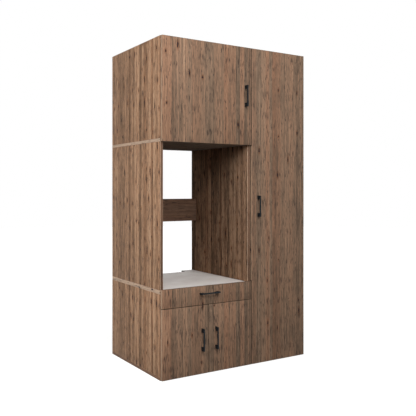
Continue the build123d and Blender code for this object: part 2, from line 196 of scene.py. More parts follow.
    # light and dark: each layer swings round zero, and all are scaled by Contrast
    lightness = 0.0
    for name, strength in pine["swing"].items():
        lightness = addNode(tree, "ShaderNodeMath", {"operation": "MULTIPLY_ADD"}, {
            0: addNode(tree, "ShaderNodeMath", {"operation": "SUBTRACT"}, {0: layers[name], 1: 0.5}),
            1: strength, 2: lightness})
    lightness = addNode(tree, "ShaderNodeMath", {"operation": "MULTIPLY_ADD"}, {
        0: lightness, 1: start.outputs["Contrast"], 2: 0.5})
    warm = addNode(tree, "ShaderNodeValToRGB", {"stops": pine["warmTones"]}, {0: lightness})
    cool = addNode(tree, "ShaderNodeValToRGB", {"stops": pine["coolTones"]}, {0: lightness})
    # the darker strips are greyer, and some staves are redder
    grey = addNode(tree, "ShaderNodeMapRange", {"interpolation_type": "SMOOTHSTEP"}, {
        "Value": addNode(tree, "ShaderNodeMath", {"operation": "MULTIPLY_ADD"}, {
            0: stave.outputs[1], 1: 0.22, 2: lightness}),
        "From Min": 0.8, "From Max": 0.44, "To Max": start.outputs["Grey"]})
    wood = addNode(tree, "ShaderNodeMix", {"data_type": "RGBA"}, {0: grey, 6: warm, 7: cool})
    red = addNode(tree, "ShaderNodeMapRange", {"interpolation_type": "SMOOTHSTEP"}, {
        "Value": stave.outputs[2], "From Min": 0.5, "From Max": 0.9, "To Max": 0.2})
    wood = addNode(tree, "ShaderNodeMix", {"data_type": "RGBA", "blend_type": "MULTIPLY"}, {
        0: red, 6: wood.outputs[2], 7: hexColour(pine["redTone"])})

    # dark marks: drying checks in patches, dashes, knots with their haloes
    checks = addNode(tree, "ShaderNodeMapRange", {"interpolation_type": "SMOOTHSTEP"}, {
        "Value": addNode(tree, "ShaderNodeMath", {"operation": "MULTIPLY_ADD"}, {
            0: layers["patch"], 1: 0.25, 2: layers["check"]}),
        "From Min": 0.74, "From Max": 0.82, "To Max": 0.75})
    dashes = addNode(tree, "ShaderNodeTexVoronoi", {"voronoi_dimensions": "2D"}, {
        "Vector": addNode(tree, "ShaderNodeMapping", None, {"Vector": bent, "Scale": scale["dashCell"]}),
        "Scale": 1.0, "Randomness": 1.0})
    dashPlace = addNode(tree, "ShaderNodeVectorMath", {"operation": "MULTIPLY"}, {
        0: dashes.outputs["Position"], 1: (*pine["dashCell"], 0)})
    inDashes = addNode(tree, "ShaderNodeMapping", None, {
        "Vector": addNode(tree, "ShaderNodeVectorMath", {"operation": "SUBTRACT"}, {0: bent, 1: dashPlace}),
        "Scale": scale["dashSize"]})
    dashReach = addNode(tree, "ShaderNodeMath", {"operation": "ADD"}, {
        0: addNode(tree, "ShaderNodeVectorMath", {"operation": "LENGTH"}, {0: inDashes}).outputs["Value"],
        1: ragged})
    isDash = addNode(tree, "ShaderNodeMath", {"operation": "LESS_THAN"}, {
        0: addNode(tree, "ShaderNodeSeparateColor", None, {0: dashes.outputs["Color"]}),
        1: pine["dashShare"]})
    dash = addNode(tree, "ShaderNodeMapRange", {"interpolation_type": "SMOOTHSTEP"}, {
        "Value": dashReach, "From Min": 1.15, "From Max": 0.65, "To Max": isDash})
    shade = addNode(tree, "ShaderNodeMix", {"data_type": "RGBA"}, {
        0: checks, 6: wood.outputs[2], 7: hexColour(pine["checkInk"])})
    shade = addNode(tree, "ShaderNodeMix", {"data_type": "RGBA", "blend_type": "MULTIPLY"}, {
        0: halo, 6: shade.outputs[2], 7: hexColour(pine["haloInk"])})
    for mark, ink in ((dash, "dashInk"), (core, "knotInk")):
        shade = addNode(tree, "ShaderNodeMix", {"data_type": "RGBA"}, {
            0: mark, 6: shade.outputs[2], 7: hexColour(pine[ink])})
    dark = addNode(tree, "ShaderNodeMath", {"operation": "MAXIMUM"}, {0: checks, 1: core})
    addNode(tree, "NodeGroupOutput", None, {
        "Colour": shade.outputs[2], "Fibre": layers["fibre"], "Dark": dark})
    return tree


pinePrint = makePinePrint()


# contrast and grey: how strong the print is, and how grey its darker strips
# wash and washTone: how much pigment lies over the print, and its colour
# knots: share of the cells that hold one
# emboss: depth in mm of the pressed pores; shine: specular level of the closed skin
# seam reach: how near in mm a neighbour must stand for painted shade to darken an edge, 0 for never
boardSkin = {"knots": 0.42, "emboss": 0.12, "shine": 0.06, "seamShadeReach": 0}
edgeBand = {**boardSkin, "emboss": 0.06}
decorFinishes = {
    # melamine-faced chipboard
    "pineDecorFronts": {**boardSkin, "contrast": 1.12, "grey": 0.6, "wash": 0.06, "washTone": "#8A8274",
                        "knots": 0.27},
    "pineDecorSides": {**boardSkin, "contrast": 1.65, "grey": 0.16, "wash": 0.09, "washTone": "#A08B5E",
                       "knots": 0.9},
    "pineDecorBay": {**boardSkin, "contrast": 2.1, "grey": 0.45, "wash": 0.05, "washTone": "#A08B5E",
                     "knots": 0.7, "shine": 0.0},
    # a greyer copy of the decor for the underside over the bay: painted shade, the tone the decor shows out
    # of the light
    "pineDecorCeilingShade": {**boardSkin, "contrast": 1.0, "grey": 0.7, "wash": 0.5, "washTone": "#A5A19A",
                         "shine": 0.0},
    # a darker-washed copy of the decor for the rail at the back of the bay: painted shade
    "pineDecorRailShade": {**boardSkin, "contrast": 0.8, "grey": 0.35, "wash": 0.45, "washTone": "#453530"},
    # ABS edging, 1 mm: the same print with a softer emboss, under a dark or a pale wash
    # the plain edging goes on standing arrises, where its paler tone is also a painted highlight
    "plainEdgingAbs": {**edgeBand, "contrast": 1.2, "grey": 0.4, "wash": 0.1, "washTone": "#D2B597"},
    "darkEdgingAbs": {**edgeBand, "contrast": 0.9, "grey": 0.5, "wash": 0.45, "washTone": "#4A3B31"},
    # the seam edging is darkened with painted shade where another front stands close
    "seamShadeEdgingAbs": {**edgeBand, "contrast": 1.2, "grey": 0.4, "wash": 0.22, "washTone": "#DCC0A3",
                      "seamShadeReach": 10},
    "paleEdgingAbs": {**edgeBand, "contrast": 1.7, "grey": 0.3, "wash": 0.45, "washTone": "#D4BEA8"},
}


def makePineDecor(name, finish):
    # a pine print pressed under a lightly embossed plate: a closed, nearly matt skin
    # whose pores catch the light along the grain
    material, tree = newMaterial(name)
    printed = addNode(tree, "ShaderNodeGroup", {"node_tree": pinePrint}, {
        "Place": addNode(tree, "ShaderNodeUVMap", {"uv_map": "grain"}),
        "Contrast": finish["contrast"], "Grey": finish["grey"], "Knots": finish["knots"]})
    # the wash leaves knots and checks as dark as they are
    wash = addNode(tree, "ShaderNodeMath", {"operation": "MULTIPLY"}, {
        0: addNode(tree, "ShaderNodeMath", {"operation": "SUBTRACT"}, {0: 1.0, 1: printed.outputs["Dark"]}),
        1: finish["wash"]})
    colour = addNode(tree, "ShaderNodeMix", {"data_type": "RGBA"}, {
        0: wash, 6: printed.outputs["Colour"], 7: hexColour(finish["washTone"])})
    if finish["seamShadeReach"]:
        # painted shade: dark where another front stands close and would shade the edge, pale where the edge
        # is free
        near = addNode(tree, "ShaderNodeAmbientOcclusion", {"samples": 12}, {
            "Distance": finish["seamShadeReach"] * mm})
        shade = addNode(tree, "ShaderNodeMapRange", {"interpolation_type": "SMOOTHSTEP"}, {
            "Value": near.outputs["AO"], "From Min": 0.97, "From Max": 0.6, "To Max": 0.96})
        colour = addNode(tree, "ShaderNodeMix", {"data_type": "RGBA"}, {
            0: shade, 6: colour.outputs[2], 7: hexColour("#1F1A18")})
    rough = addNode(tree, "ShaderNodeMapRange", None, {
        "Value": printed.outputs["Fibre"], "From Min": 0.3, "From Max": 0.7, "To Min": 0.68, "To Max": 0.55})
    height = addNode(tree, "ShaderNodeMath", {"operation": "SUBTRACT"}, {
        0: printed.outputs["Fibre"], 1: printed.outputs["Dark"]})
    bump = addNode(tree, "ShaderNodeBump", None, {
        "Strength": 0.35, "Distance": finish["emboss"] * mm, "Height": height})
    shader = addNode(tree, "ShaderNodeBsdfPrincipled", None, {
        "Base Color": colour.outputs[2], "Roughness": rough, "Normal": bump, "IOR": 1.5,
        "Specular IOR Level": finish["shine"]})
    addNode(tree, "ShaderNodeOutputMaterial", None, {"Surface": shader})
    return material


finishes = {name: makePineDecor(name, finish) for name, finish in decorFinishes.items()}


# drift: clouds per metre in the tone, and their detail
# grain: lumps per metre in gloss and relief along X, Y and Z, and their detail
# gloss: least and most roughness; relief: strength, and depth in mm
plainFinishes = {
    # the milled radius of an edge band shows its solid pale body, streaked by the cutter every 11 mm; drawn
    # this pale, it is also a painted highlight along the bay sides' standing arrises
    "milledAbsHighlight": {
        "drift": (90.0, 3.0), "tones": [(0.3, "#B79A80"), (0.7, "#D6BEA6")],
        "grain": ((90.0, 90.0, 90.0), 3.0), "gloss": (0.4, 0.55), "relief": (0.0, 0.1),
        "shader": {"Specular IOR Level": 0.3}},
    # drawer box boards: melamine with a fine pearl emboss
    "whiteMelamine": {
        "drift": (900.0, 2.0), "tones": [(0.35, "#DCDBD6"), (0.65, "#E8E7E2")],
        "grain": ((900.0, 900.0, 900.0), 2.0), "gloss": (0.38, 0.55), "relief": (0.25, 0.1)},
    # zinc die-cast bar, matt black polyester powder: an orange peel of 0.7 mm
    "blackPowderCoat": {
        "drift": (1400.0, 2.0), "tones": [(0.3, "#080F14"), (0.7, "#0D171D")],
        "grain": ((1400.0, 1400.0, 1400.0), 2.0), "gloss": (0.42, 0.6), "relief": (0.25, 0.08),
        "shader": {"Specular IOR Level": 0.2}},
    # injection-moulded plastic: a spark-eroded grain of 0.4 mm, faint flow clouds
    "greyPlastic": {
        "drift": (120.0, 2.0), "tones": [(0.3, "#9A958F"), (0.7, "#ABA6A0")],
        "grain": ((2500.0, 2500.0, 2500.0), 2.0), "gloss": (0.45, 0.65), "relief": (0.3, 0.05)},
    # pressed steel strip, plated after pressing: a soft cloudy shine, and rolling lines of 1 mm
    "nickelPlatedSteel": {
        "drift": (60.0, 4.0), "tones": [(0.35, "#BDB8AF"), (0.65, "#D2CEC6")],
        "grain": ((900.0, 60.0, 900.0), 2.0), "gloss": (0.18, 0.34), "relief": (0.15, 0.05),
        "shader": {"Metallic": 1.0}},
    "zincPlatedSteel": {
        "drift": (60.0, 4.0), "tones": [(0.35, "#B4B9BD"), (0.65, "#CDD2D6")],
        "grain": ((900.0, 60.0, 900.0), 2.0), "gloss": (0.26, 0.44), "relief": (0.15, 0.05),
        "shader": {"Metallic": 1.0}},
}


def makePlainFinish(name, finish):
    # a tone that drifts over the surface, under a finer grain in its gloss and relief
    material, tree = newMaterial(name)
    place = addNode(tree, "ShaderNodeTexCoord").outputs["Object"]
    drift = addNode(tree, "ShaderNodeTexNoise", None, {
        "Vector": place, "Scale": finish["drift"][0], "Detail": finish["drift"][1]})
    grain = addNode(tree, "ShaderNodeTexNoise", None, {
        "Vector": addNode(tree, "ShaderNodeMapping", None, {"Vector": place, "Scale": finish["grain"][0]}),
        "Scale": 1.0, "Detail": finish["grain"][1]})
    rough = addNode(tree, "ShaderNodeMapRange", None, {
        "Value": grain, "To Min": finish["gloss"][0], "To Max": finish["gloss"][1]})
    bump = addNode(tree, "ShaderNodeBump", None, {
        "Strength": finish["relief"][0], "Distance": finish["relief"][1] * mm, "Height": grain})
    shader = addNode(tree, "ShaderNodeBsdfPrincipled", None, {
        "Base Color": addNode(tree, "ShaderNodeValToRGB", {"stops": finish["tones"]}, {0: drift}),
        "Roughness": rough, "Normal": bump, **finish.get("shader", {})})
    addNode(tree, "ShaderNodeOutputMaterial", None, {"Surface": shader})
    return material


finishes.update({name: makePlainFinish(name, finish) for name, finish in plainFinishes.items()})


# dark, middle and pale chips; the sealed board is sawn, then coated with grey lacquer
chipTones = {
    "sawnChipboard": [(0.0, "#7A5B3D"), (0.5, "#B08E63"), (1.0, "#D0B184")],
    "sealedChipboard": [(0.0, "#8E8984"), (0.5, "#A7A29D"), (1.0, "#BAB5B0")],
}


def makeChipboard(name, tones):
    # pressed chips and glue, sawn open in grooves, bores and unedged ends
    material, tree = newMaterial(name)
    place = addNode(tree, "ShaderNodeTexCoord").outputs["Object"]
    chips = addNode(tree, "ShaderNodeTexVoronoi", None, {"Vector": place, "Scale": 420.0})    # 2.4 mm
    dust = addNode(tree, "ShaderNodeTexNoise", None, {"Vector": place, "Scale": 1500.0, "Detail": 3.0})
    chip = addNode(tree, "ShaderNodeSeparateColor", None, {0: chips.outputs["Color"]})
    shader = addNode(tree, "ShaderNodeBsdfPrincipled", None, {
        "Base Color": addNode(tree, "ShaderNodeValToRGB", {"stops": tones}, {0: chip}),
        "Normal": addNode(tree, "ShaderNodeBump", None, {
            "Strength": 0.6, "Distance": 0.3 * mm, "Height": dust}),
        "Roughness": 0.9, "IOR": 1.45})
    addNode(tree, "ShaderNodeOutputMaterial", None, {"Surface": shader})
    return material


finishes.update({name: makeChipboard(name, tones) for name, tones in chipTones.items()})

laminate = {
    "cloud": 9.0,         # patches per metre, a hand wide
    "grit": 650.0,        # specks per metre, 1.5 mm
    "gritShare": 0.5,
    "tones": [(0.5, "#E2DAD5"), (0.75, "#E9E3DE"), (1.0, "#EFEBE7")],
}


def makeWorktopLaminate():
    # high-pressure laminate in pale warm grey: cloudy, with a fine stone grain under a satin press
    material, tree = newMaterial("paleStoneLaminate")
    place = addNode(tree, "ShaderNodeTexCoord").outputs["Object"]
    cloud = addNode(tree, "ShaderNodeTexNoise", None, {
        "Vector": place, "Scale": laminate["cloud"], "Detail": 3.0})
    grit = addNode(tree, "ShaderNodeTexNoise", None, {
        "Vector": place, "Scale": laminate["grit"], "Detail": 2.0})
    mixed = addNode(tree, "ShaderNodeMath", {"operation": "MULTIPLY_ADD"}, {
        0: grit, 1: laminate["gritShare"], 2: cloud})
    shader = addNode(tree, "ShaderNodeBsdfPrincipled", None, {
        "Base Color": addNode(tree, "ShaderNodeValToRGB", {"stops": laminate["tones"]}, {0: mixed}),
        "Roughness": addNode(tree, "ShaderNodeMapRange", None, {
            "Value": grit, "To Min": 0.5, "To Max": 0.66}),
        "Normal": addNode(tree, "ShaderNodeBump", None, {
            "Strength": 0.2, "Distance": 0.1 * mm, "Height": grit}),
        "IOR": 1.5, "Specular IOR Level": 0.1})
    addNode(tree, "ShaderNodeOutputMaterial", None, {"Surface": shader})
    return material


hardboard = {
    "fibres": 240.0,      # per metre, 4 mm
    "brown": [(0.3, "#6E4F36"), (0.55, "#8F6B4B"), (0.8, "#A88560")],
    "lacquer": [(0.3, "#D8D5CE"), (0.7, "#E6E3DD")],
}


def makeHardboard():
    # thin fibreboard: one face lacquered off-white, the other bare brown fibre
    material, tree = newMaterial("lacqueredHardboard")
    place = addNode(tree, "ShaderNodeTexCoord")
    facing = addNode(tree, "ShaderNodeSeparateXYZ", None, {0: place.outputs["Normal"]})
    fibres = addNode(tree, "ShaderNodeTexNoise", None, {
        "Vector": place.outputs["Object"], "Scale": hardboard["fibres"], "Detail": 6.0, "Roughness": 0.7})
    # the lacquered face looks into the cupboards, and up inside the drawer
    isPale = addNode(tree, "ShaderNodeMath", {"operation": "MAXIMUM"}, {
        0: addNode(tree, "ShaderNodeMath", {"operation": "LESS_THAN"}, {0: facing.outputs[1], 1: -0.5}),
        1: addNode(tree, "ShaderNodeMath", {"operation": "GREATER_THAN"}, {0: facing.outputs[2], 1: 0.5})})
    colour = addNode(tree, "ShaderNodeMix", {"data_type": "RGBA"}, {
        0: isPale, 6: addNode(tree, "ShaderNodeValToRGB", {"stops": hardboard["brown"]}, {0: fibres}),
        7: addNode(tree, "ShaderNodeValToRGB", {"stops": hardboard["lacquer"]}, {0: fibres})})
    shader = addNode(tree, "ShaderNodeBsdfPrincipled", None, {
        "Base Color": colour.outputs[2],
        "Roughness": addNode(tree, "ShaderNodeMapRange", None, {
            "Value": isPale, "To Min": 0.85, "To Max": 0.5}),
        "Normal": addNode(tree, "ShaderNodeBump", None, {
            "Strength": 0.3, "Distance": 0.2 * mm, "Height": fibres})})
    addNode(tree, "ShaderNodeOutputMaterial", None, {"Surface": shader})
    return material


finishes["paleStoneLaminate"] = makeWorktopLaminate()
finishes["lacqueredHardboard"] = makeHardboard()
print("materials made")


def copyOfNode(node):
    # a CAD node's loose triangles as one closed mesh with flat faces
    work = bmesh.new()
    work.from_mesh(nodes[node].data)
    bmesh.ops.remove_doubles(work, verts=work.verts, dist=0.01 * mm)
    bmesh.ops.dissolve_limit(work, angle_limit=math.radians(0.4), verts=work.verts, edges=work.edges,
                             use_dissolve_boundaries=False)
    return work


def finishMesh(work, name, materials):
    for face in work.faces:
        face.smooth = True
    for edge in work.edges:
        edge.smooth = len(edge.link_faces) == 2 and edge.calc_face_angle(0) < math.radians(30)
    mesh = bpy.data.meshes.new(name)
    work.to_mesh(mesh)
    work.free()
    if "custom_normal" in mesh.attributes:
        mesh.attributes.remove(mesh.attributes["custom_normal"])
    for layer in [layer for layer in mesh.uv_layers if layer.name != "grain"]:
        mesh.uv_layers.remove(layer)
    for material in materials:
        mesh.materials.append(material)
    piece = bpy.data.objects.new(name, mesh)
    bpy.context.scene.collection.objects.link(piece)
    return piece


def standFor(piece, node):
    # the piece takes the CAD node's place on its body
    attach(piece, bodyOf[node])
    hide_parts(node)


boardParts = ["face", "edge", "core", "arrisTone", "ends"]    # a board's finishes, in slot order
touching = 0.02 * mm                                          # this near, a point lies on a plane
# boards cut one beside the other from a sheet show one running print
# the bay wall's print starts where its darker staves lie towards the rear: painted shade, the wall darker
# towards the back of the bay
printStarts = {"fronts": (0.61, 2.2), "left": (8.35, 1.9), "bay": (11.2, 2.9),
               "upperStrip": (3.1, 1.7), "lowerStrip": (5.3, 4.1)}


def makeBoard(node, board):
    # every face gets its own print coordinates in metres: across the grain, then along it
    low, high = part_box(node)
    work = copyOfNode(node)
    thick, grain = "XYZ".index(board["thick"]), "XYZ".index(board["grain"])
    wide = 3 - thick - grain
    arris = board["arris"] * mm

    def planesAt(point):
        return sum(abs(point[i] - limit[i]) < touching for i in range(3) for limit in (low, high))

    outline = [edge for edge in work.edges if all(planesAt(v.co) >= 2 for v in edge.verts)
               and planesAt((edge.verts[0].co + edge.verts[1].co) / 2) >= 2]
    bmesh.ops.bevel(work, geom=outline, offset=arris, segments=2, profile=0.5,
                    affect="EDGES", clamp_overlap=True)
    uv = work.loops.layers.uv.new("grain")
    startU, startV = printStarts.get(board.get("start"), (chance.uniform(0, 9), chance.uniform(0, 9)))
    for face in work.faces:
        normal, middle = face.normal, face.calc_center_median()
        side = max(range(3), key=lambda i: abs(normal[i]))
        inset = min(abs(middle[side] - low[side]), abs(middle[side] - high[side]))
        across, along = thick, (wide if side == grain else grain)
        if abs(normal[side]) < 0.99 and inset < arris:    # a broken edge, standing or lying
            # standing arrises take the arris tone, paler than the ends' tone that lying ones take: a painted
            # highlight along the standing edges
            part = "arrisTone" if abs(normal.z) < 0.2 else "ends"
        elif inset > touching:                            # inside a bore or a groove
            part = "core"
        elif side == thick:
            part, across, along = "face", wide, grain
        else:
            part = "ends" if side == grain else "edge"
        face.material_index = boardParts.index(part)
        # faces looking down on a board with an under finish take that copy of the decor, painted as in shade
        if "under" in board and part != "core" and normal.z < -0.3:
            face.material_index = len(boardParts)
        for loop in face.loops:
            place = loop.vert.co
            loop[uv].uv = (place[across] + startU, place[along] + startV)
    names = [board[part] for part in boardParts + ["under"] if part in board]
    standFor(finishMesh(work, node + "_board", [finishes[name] for name in names]), node)


# thick and grain: the axes a board is thin along and its print runs along; arris in mm
plainBoard = {"face": "pineDecorSides", "edge": "darkEdgingAbs", "ends": "darkEdgingAbs",
              "arrisTone": "plainEdgingAbs", "core": "sawnChipboard", "arris": 1.0}
upright = {**plainBoard, "thick": "X", "grain": "Z"}
lying = {**plainBoard, "thick": "Z", "grain": "X"}
# fronts keep the dark edging on their ends; its dark tone also paints shade into the lying seams between the
# drawer and the doors
front = {**plainBoard, "thick": "Y", "grain": "Z", "start": "fronts", "face": "pineDecorFronts",
         "edge": "seamShadeEdgingAbs", "arrisTone": "seamShadeEdgingAbs", "arris": 0.95}
backPanel = {**{part: "lacqueredHardboard" for part in boardParts}, "thick": "Y", "grain": "X", "arris": 0.2}
drawerBoard = {**{part: "whiteMelamine" for part in boardParts}, "core": "sawnChipboard",
               "thick": "X", "grain": "Z", "arris": 0.5}
boards = {
    "upper_door": front,
    "tall_door": front,
    "base_left_door": {**front, "ends": "seamShadeEdgingAbs"},
    "base_right_door": {**front, "ends": "seamShadeEdgingAbs"},
    "drawer_front": front,
    # the base's left side has pale ends, which put a pale line along its lying arrises: painted highlight
    "base_left_side": {**upright, "start": "left", "ends": "paleEdgingAbs"},
    "bay_left_side": {**upright, "start": "left", "arrisTone": "milledAbsHighlight"},
    "upper_left_side": {**upright, "start": "left"},
    "base_right_side": upright,
    "bay_right_side": {**upright, "start": "bay", "face": "pineDecorBay", "arrisTone": "milledAbsHighlight",
                       "arris": 1.5},
    "upper_right_side": upright,
    "tall_left_side": upright,
    "tall_right_side": upright,
    "base_bottom_board": lying,
    "upper_bottom_board": {**lying, "start": "upperStrip", "ends": "paleEdgingAbs",
                           "under": "pineDecorCeilingShade"},
    "upper_top_board": lying,
    "tall_bottom_board": lying,
    "tall_top_board": lying,
    "tall_fixed_shelf": lying,
    "upper_shelf": lying,
    "tall_shelf_low": lying,
    "tall_shelf_middle": lying,
    "tall_shelf_high": lying,
    "drawer_rail": lying,
    "bay_rear_rail": {**plainBoard, "thick": "Y", "grain": "X", "face": "pineDecorRailShade"},
    "platform_board": {**lying, "start": "lowerStrip", "face": "paleStoneLaminate",
                       "ends": "paleEdgingAbs", "core": "sealedChipboard"},
    "base_back_panel": backPanel,
    "upper_back_panel": backPanel,
    "tall_back_panel": backPanel,
    "drawer_bottom": {**backPanel, "thick": "Z"},
    "drawer_left_side": drawerBoard,
    "drawer_right_side": drawerBoard,
    "drawer_back": {**drawerBoard, "thick": "Y"},
}
for node, board in boards.items():
    makeBoard(node, board)
print("boards made")


def makeMetal(node, finish, rounding):
    # a copy of the CAD node with its long sharp edges broken
    work = copyOfNode(node)
    sharp = [edge for edge in work.edges if len(edge.link_faces) == 2 and edge.is_convex
             and edge.calc_face_angle(0) > math.radians(50) and edge.calc_length() > 3 * rounding * mm]
    bmesh.ops.bevel(work, geom=sharp, offset=rounding * mm, segments=2, profile=0.5,
                    affect="EDGES", clamp_overlap=True)
    standFor(finishMesh(work, node + "_metal", [finishes[finish]]), node)


for node in nodes:
    if node.endswith("_handle"):
        makeMetal(node, "blackPowderCoat", 0.7)
    elif node.startswith("drawer_slide") or node in ("shelf_pins", "unit_connectors", "wall_brackets"):
        makeMetal(node, "zincPlatedSteel", 0.15)
    elif "hinge" in node:
        makeMetal(node, "nickelPlatedSteel", 0.15)
print("metal pieces made")


# outline: radius and height in mm, from the foot to the flat top
# cross: arm length, arm width and depth in mm of the recess in that top
# spin: how far a fitting may be turned at random, in radians
fittings = {
    "handleScrew": {
        "outline": [(2, -28), (2, 0), (4, 0), (4, 1.3), (3.4, 2.1), (2.7, 2.4)], "sides": 20,
        "cross": (2.0, 0.75, 1.4), "finish": "zincPlatedSteel", "spin": 3.1, "slot": "zinc_steel"},
    "cupScrew": {
        "outline": [(3.5, -0.1), (3.5, 0.25), (2.9, 0.55), (2.2, 0.6)], "sides": 18,
        "cross": (1.8, 0.7, 0.9), "finish": "nickelPlatedSteel", "spin": 3.1, "slot": "nickel_steel"},
    "plateScrew": {
        "outline": [(3.9, -0.1), (3.9, 0.4), (3.3, 1.1), (2.5, 1.2)], "sides": 20,
        "cross": (2.0, 0.75, 1.0), "finish": "nickelPlatedSteel", "spin": 3.1, "slot": "nickel_steel"},
    "armScrew": {
        "outline": [(2.9, -0.3), (2.9, 0.3), (2.4, 0.7), (1.9, 0.75)], "sides": 18,
        "cross": (1.5, 0.6, 0.7), "finish": "nickelPlatedSteel", "spin": 3.1, "slot": "nickel_steel"},
    "camCap": {
        "outline": [(8.5, -0.1), (8.5, 0.25), (8.1, 0.6), (6.2, 0.8)], "sides": 28,
        "cross": (2.3, 0.8, 0.35), "finish": "greyPlastic", "spin": 0.6, "slot": "platform_laminate"},
    "bumper": {
        "outline": [(4, -0.1), (4, 0.6), (3.6, 1.2), (2.6, 1.5), (1.2, 1.6)], "sides": 20,
        "cross": None, "finish": "greyPlastic", "spin": 0.0, "slot": "platform_laminate"},
}


def makeFittingShape(name, fitting):
    # a turned shape with a cross recess in its top
    sides, top = fitting["sides"], fitting["outline"][-1][1]
    work = bmesh.new()
    turns = [2 * math.pi * i / sides for i in range(sides)]
    rings = [[work.verts.new((radius * mm * math.cos(turn), radius * mm * math.sin(turn), height * mm))
              for turn in turns] for radius, height in fitting["outline"]]
    for lower, upper in zip(rings, rings[1:]):
        for i in range(sides):
            work.faces.new((lower[i - 1], lower[i], upper[i], upper[i - 1]))
    work.faces.new(rings[0][::-1])
    if fitting["cross"]:
        length, width, depth = fitting["cross"]
        taper = 0.75    # the recess narrows to its floor
        mouth, floor = [], []
        for quarter in range(4):
            c, s = math.cos(quarter * math.pi / 2), math.sin(quarter * math.pi / 2)
            for x, y in ((length, -width / 2), (length, width / 2), (width / 2, width / 2)):
                spot = Vector((x * c - y * s, x * s + y * c, top))
                mouth.append(work.verts.new(spot * mm))
                floor.append(work.verts.new(Vector((spot.x * taper, spot.y * taper, top - depth)) * mm))
        rim = [work.edges.get((rings[-1][i - 1], rings[-1][i])) for i in range(sides)]
        rim += [work.edges.new((mouth[i - 1], mouth[i])) for i in range(12)]
        bmesh.ops.triangle_fill(work, use_beauty=True, edges=rim)
        for i in range(12):
            work.faces.new((floor[i - 1], floor[i], mouth[i], mouth[i - 1]))
        work.faces.new(floor)
    else:
        work.faces.new(rings[-1])
    bmesh.ops.recalc_face_normals(work, faces=work.faces)
    shape = finishMesh(work, name + "Shape", [])
    shape.hide_render = True
    return shape


def makeFittingField():
    # one fitting on every place, its axis along the place's facing, turned at random about it
    tree = bpy.data.node_groups.new("fittingField", "GeometryNodeTree")
    for name, kind in (("Places", "Geometry"), ("Fitting", "Object"), ("Finish", "Material"),
                       ("Spin", "Float"), ("Seed", "Int")):
        tree.interface.new_socket(name, in_out="INPUT", socket_type="NodeSocket" + kind)
    tree.interface.new_socket("Geometry", in_out="OUTPUT", socket_type="NodeSocketGeometry")
    start = addNode(tree, "NodeGroupInput")
    shape = addNode(tree, "GeometryNodeObjectInfo", None, {
        "Object": start.outputs["Fitting"], "As Instance": True})
    facing = addNode(tree, "GeometryNodeInputNamedAttribute", {"data_type": "FLOAT_VECTOR"}, {
        "Name": "facing"})
    copies = addNode(tree, "GeometryNodeInstanceOnPoints", None, {
        "Points": start.outputs["Places"], "Instance": shape.outputs["Geometry"],
        "Rotation": addNode(tree, "FunctionNodeAlignRotationToVector", {"axis": "Z"}, {"Vector": facing})})
    least = addNode(tree, "ShaderNodeMath", {"operation": "MULTIPLY"}, {0: start.outputs["Spin"], 1: -1.0})
    spin = addNode(tree, "FunctionNodeRandomValue", {"data_type": "FLOAT"}, {
        2: least, 3: start.outputs["Spin"], "Seed": start.outputs["Seed"]})
    turned = addNode(tree, "GeometryNodeRotateInstances", None, {
        "Instances": copies, "Rotation": addNode(tree, "ShaderNodeCombineXYZ", None, {2: spin.outputs[1]})})
    real = addNode(tree, "GeometryNodeRealizeInstances", None, {0: turned})
    finished = addNode(tree, "GeometryNodeSetMaterial", None, {0: real, "Material": start.outputs["Finish"]})
    addNode(tree, "NodeGroupOutput", None, {0: finished})
    return tree


fittingShapes = {name: makeFittingShape(name, fitting) for name, fitting in fittings.items()}
fittingField = makeFittingField()


def scatterFittings(name, body, places, kind, replaced=None):
    # the places become one plain mesh of fittings that rides on the body
    mesh = bpy.data.meshes.new(name + "Places")
    mesh.from_pydata([place for place, facing in places], [], [])
    layer = mesh.attributes.new("facing", "FLOAT_VECTOR", "POINT")
    for item, (place, facing) in zip(layer.data, places):
        item.vector = facing
    field = bpy.data.objects.new(name + "Places", mesh)
    bpy.context.scene.collection.objects.link(field)
    modifier = field.modifiers.new("fittings", "NODES")
    modifier.node_group = fittingField
    values = {"Fitting": fittingShapes[kind], "Finish": finishes[fittings[kind]["finish"]],
              "Spin": fittings[kind]["spin"], "Seed": 5}
    for socket in fittingField.interface.items_tree:
        if socket.name in values:
            modifier[socket.identifier] = values[socket.name]
    evaluated = field.evaluated_get(bpy.context.evaluated_depsgraph_get())
    piece = bpy.data.objects.new(name, bpy.data.meshes.new_from_object(evaluated))
    bpy.context.scene.collection.objects.link(piece)
    field.modifiers.clear()
    bpy.data.objects.remove(field)
    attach(piece, body)
    if replaced:
        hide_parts(replaced)


# all in mm, from the hinge's level, the unit's side and the carcass front
fittingPlaces = {
    "carcassFront": -350,
    "frontsBack": -352,       # the inner plane of the doors and the drawer front
    "hingeInset": 29,         # from the end of a row of hinge cups to the hinge's level
    "earScrew": {"in": 33.5, "back": -0.8, "upDown": 22.5},
    "plateScrew": {"in": 20, "back": 37, "upDown": 17},
    "armScrews": {"in": 32, "backs": (22, 47)},
    "bumper": {"in": 10, "upDown": 9, "drawerIn": 8},    # from the front's edges
    "handleScrewInset": 4,    # from the end of the pair of CAD screws to a screw's axis
    "camCap": {"in": 34, "fromFront": 60, "fromBack": 90},
}
